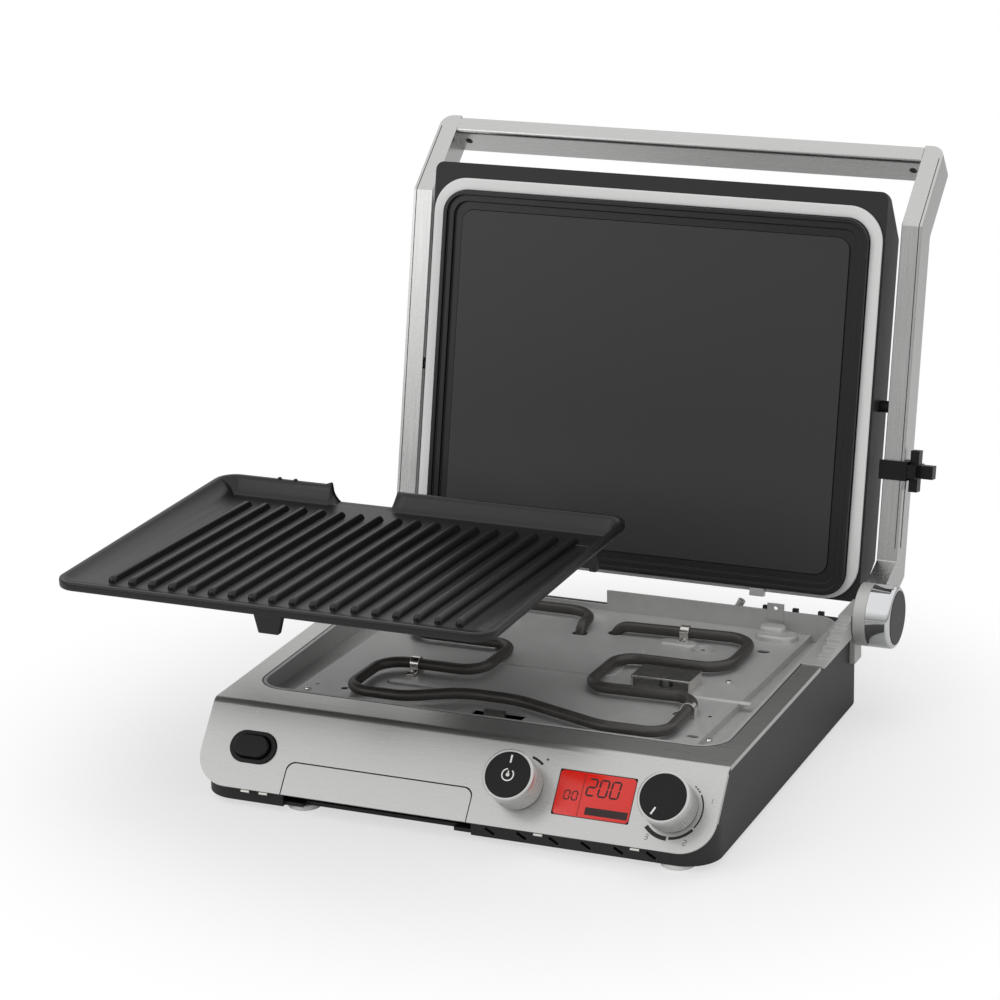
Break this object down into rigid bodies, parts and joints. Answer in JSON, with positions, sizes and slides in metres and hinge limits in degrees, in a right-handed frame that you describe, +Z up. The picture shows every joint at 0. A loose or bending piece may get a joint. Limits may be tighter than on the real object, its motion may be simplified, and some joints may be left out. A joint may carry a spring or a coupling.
{
  "type": "electric indoor grill with lid",
  "caption": "Countertop contact grill with a hinged heated lid, loose ribbed plate, heating rods in an open pan, drip drawer, knobs and a display.",
  "frame": {"origin": "on the table, under the middle of the base's footprint", "axes": "+X to the right as seen from the front, +Y to the rear, +Z up"},
  "size_m": [0.4514, 0.4899, 0.3523],
  "materials": {
    "charcoal_plastic": "fine satin texture",
    "black_plastic": "fine satin texture",
    "brushed_steel": "horizontal brushed grain",
    "sheet_metal": "plain bright sheet",
    "grey_enamel": "satin grey coating",
    "nonstick_cast": "satin black non-stick coating",
    "heater_sheath": "oxidised sheath",
    "ring_silver": "pale satin",
    "chrome": "polished",
    "cast_aluminium": "matte bead blasted",
    "silver_plastic": "silver paint",
    "pcb_green": "solder mask",
    "white_rubber": "matte",
    "black_rubber": "matte",
    "display_red": "lit display window",
    "arm_steel": "brushed along its length",
    "steel_dark": "plain machined"
  },
  "bodies": {
    "base": {"base_housing": "charcoal_plastic", "bottom_cover": "charcoal_plastic", "feet": "white_rubber", "bottom_screws": "steel_dark", "steel_top": "brushed_steel", "heater_pan": "grey_enamel", "lower_element": "heater_sheath", "element_clips": "sheet_metal", "sensor_cover": "sheet_metal", "thermostat": "steel_dark", "thermal_fuse": "steel_dark", "rear_bracket": "grey_enamel", "drawer_runners": "charcoal_plastic", "control_board": "pcb_green", "display_module": "black_plastic", "display_window": "display_red", "timer_encoder": "steel_dark", "heat_switch": "steel_dark", "power_board": "pcb_green", "terminal_block": "silver_plastic", "cord_gland": "black_rubber", "button_surround": "black_plastic", "wire_conduit": "black_rubber", "hinge_bracket_left": "cast_aluminium", "hinge_bracket_right": "cast_aluminium", "hinge_axles": "steel_dark", "fascia_clips": "sheet_metal"},
    "drawer": {"drip_tray": "black_plastic", "drawer_door": "brushed_steel"},
    "button": {"release_button": "black_plastic"},
    "latch": {"plate_latch": "steel_dark"},
    "timer": {"timer_knob": "silver_plastic", "timer_disc": "black_plastic", "timer_shaft": "steel_dark"},
    "heat": {"heat_knob": "silver_plastic", "heat_disc": "black_plastic", "heat_shaft": "steel_dark"},
    "arms": {"arm_left": "arm_steel", "arm_right": "arm_steel", "handle_bar": "arm_steel", "handle_screws": "steel_dark", "hinge_barrels": "cast_aluminium", "hinge_caps": "chrome", "hinge_discs": "black_plastic", "pivot_pins": "steel_dark"},
    "slider": {"height_slider": "black_plastic"},
    "stop_knob": {"height_knob": "black_plastic"},
    "lid": {"lid_housing": "charcoal_plastic", "lid_cover": "brushed_steel", "lid_ring": "ring_silver", "upper_plate": "nonstick_cast", "upper_element": "heater_sheath", "upper_reflector": "sheet_metal", "upper_clips": "sheet_metal", "lid_screws": "steel_dark"},
    "tab": {"release_tab": "black_plastic"},
    "plate": {"ribbed_plate": "nonstick_cast"}
  },
  "joints": [
    {"name": "lid_hinge", "type": "hinge", "parent": "base", "child": "arms", "pos_m": [0, 0.13812, 0.068], "axis": [1, 0, 0], "range_deg": [0, 102]},
    {"name": "lid_tilt", "type": "hinge", "parent": "arms", "child": "lid", "pos_m": [0, 0.21415, 0.18885], "axis": [1, 0, 0], "range_deg": [-4, 4]},
    {"name": "height_slide", "type": "slide", "parent": "arms", "child": "slider", "axis": [0, -0.2096, -0.9778], "range_m": [0, 0.045]},
    {"name": "height_turn", "type": "hinge", "parent": "slider", "child": "stop_knob", "pos_m": [0.19, 0.2074, 0.14785], "axis": [1, 0, 0], "range_deg": [0, 90]},
    {"name": "tab_slide", "type": "slide", "parent": "lid", "child": "tab", "axis": [0, -0.2096, -0.9778], "range_m": [0, 0.0025], "stiffness_N_per_m": 800, "springref_m": -0.001},
    {"name": "plate_seat", "type": "slide", "parent": "base", "child": "plate", "axis": [0.6284, 0.6175, -0.4731], "range_m": [0, 0.16516]},
    {"name": "drawer_slide", "type": "slide", "parent": "base", "child": "drawer", "axis": [0, -1, 0], "range_m": [0, 0.22]},
    {"name": "timer_turn", "type": "hinge", "parent": "base", "child": "timer", "pos_m": [0.0436, -0.13794, 0.03556], "axis": [0, -0.7738, 0.6334], "continuous": true},
    {"name": "heat_turn", "type": "hinge", "parent": "base", "child": "heat", "pos_m": [0.1434, -0.13794, 0.03556], "axis": [0, -0.7738, 0.6334], "range_deg": [-270, 0]},
    {"name": "button_press", "type": "slide", "parent": "base", "child": "button", "axis": [0, 0.7738, -0.6334], "range_m": [0, 0.003], "stiffness_N_per_m": 900, "springref_m": -0.001},
    {"name": "latch_slide", "type": "slide", "parent": "base", "child": "latch", "axis": [0, 1, 0], "range_m": [0, 0.0024]}
  ],
  "couplings": [
    {"joint": "plate_seat", "follows": "lid_hinge", "m_per_rad": 0.092608},
    {"joint": "latch_slide", "follows": "button_press", "ratio": 0.77}
  ]
}
